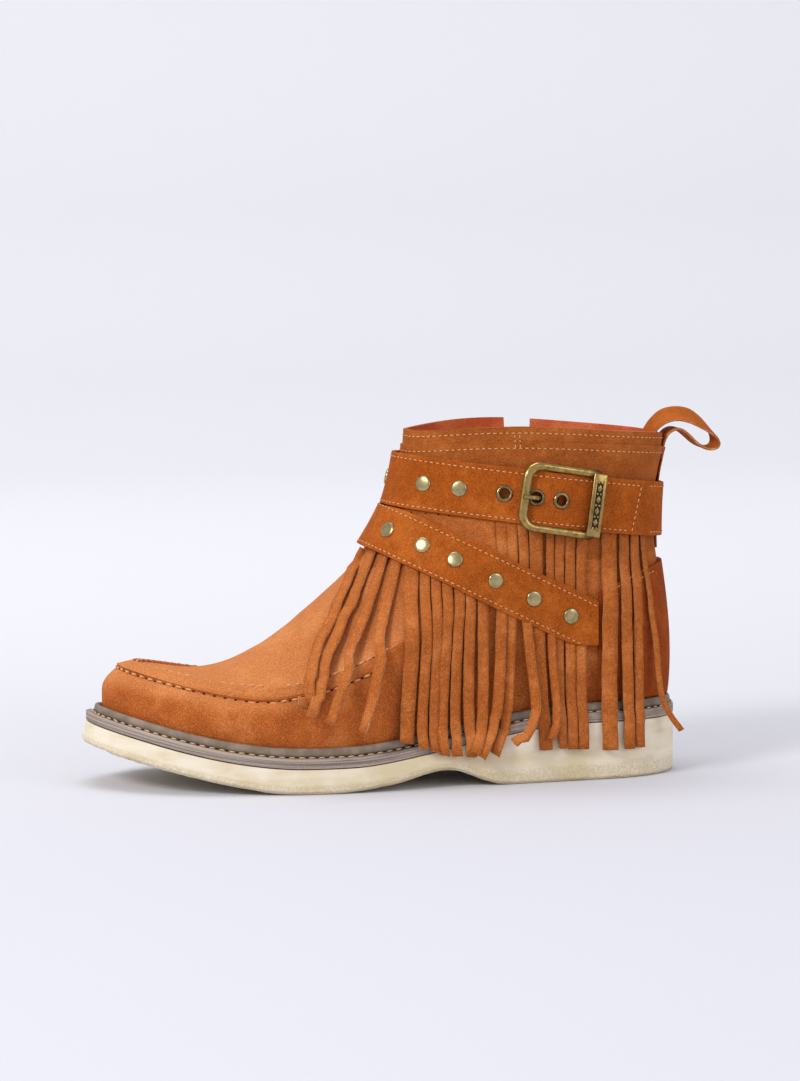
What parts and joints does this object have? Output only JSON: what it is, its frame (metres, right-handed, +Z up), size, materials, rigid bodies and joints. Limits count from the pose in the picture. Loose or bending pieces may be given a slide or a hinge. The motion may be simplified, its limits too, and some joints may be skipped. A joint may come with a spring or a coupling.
{
  "type": "ankle boot",
  "caption": "Left suede ankle boot with a buckled strap, a studded instep strap, side fringe, pull loop and an inner side zip.",
  "frame": {"origin": "middle of the heel's flat underside, on the floor", "axes": "+Z up, the toe points along -X, the outer side of the foot is -Y and the inner side +Y"},
  "size_m": [0.2905, 0.1014, 0.1647],
  "materials": {
    "sole": "matte, slightly marked",
    "midsole": "matte",
    "lining": "smooth leather",
    "suede": "napped suede",
    "strap": "suede, stitched, more orange than the upper",
    "fringe": "suede, a little paler than the straps",
    "brass": "antique brass, worn",
    "zip_tape": "woven tape"
  },
  "bodies": {
    "root": {"outsole": "sole", "midsole": "midsole", "welt": "midsole", "insole": "lining", "upper": "suede", "heel_counter": "suede", "back_strip": "suede", "ankle_strap_tail": "strap", "ankle_strap_back": "strap", "instep_strap": "strap", "fringe_outer": "fringe", "fringe_outer_heel": "fringe", "fringe_inner": "fringe", "fringe_inner_heel": "fringe", "buckle_frame": "brass", "buckle_plate": "brass", "buckle_prong": "brass", "eyelet_1": "brass", "eyelet_2": "brass", "eyelet_3": "brass", "stud_ankle_outer_1": "brass", "stud_ankle_outer_2": "brass", "stud_ankle_inner_1": "brass", "stud_ankle_inner_2": "brass", "stud_ankle_inner_3": "brass", "stud_instep_outer_1": "brass", "stud_instep_outer_2": "brass", "stud_instep_outer_3": "brass", "stud_instep_outer_4": "brass", "stud_instep_outer_5": "brass", "stud_instep_outer_6": "brass", "stud_instep_inner_1": "brass", "stud_instep_inner_2": "brass", "stud_instep_inner_3": "brass", "stud_instep_inner_4": "brass", "pull_loop": "strap", "zip_tape": "zip_tape", "zip_chain": "brass", "zip_slider": "brass"},
    "zip_pull": {"zip_pull": "brass"}
  },
  "joints": [
    {"name": "zip_pull_hinge", "type": "hinge", "parent": "root", "child": "zip_pull", "pos_m": [-0.02, 0.0371, 0.14985], "axis": [1, 0, 0], "range_deg": [0, 150]}
  ]
}
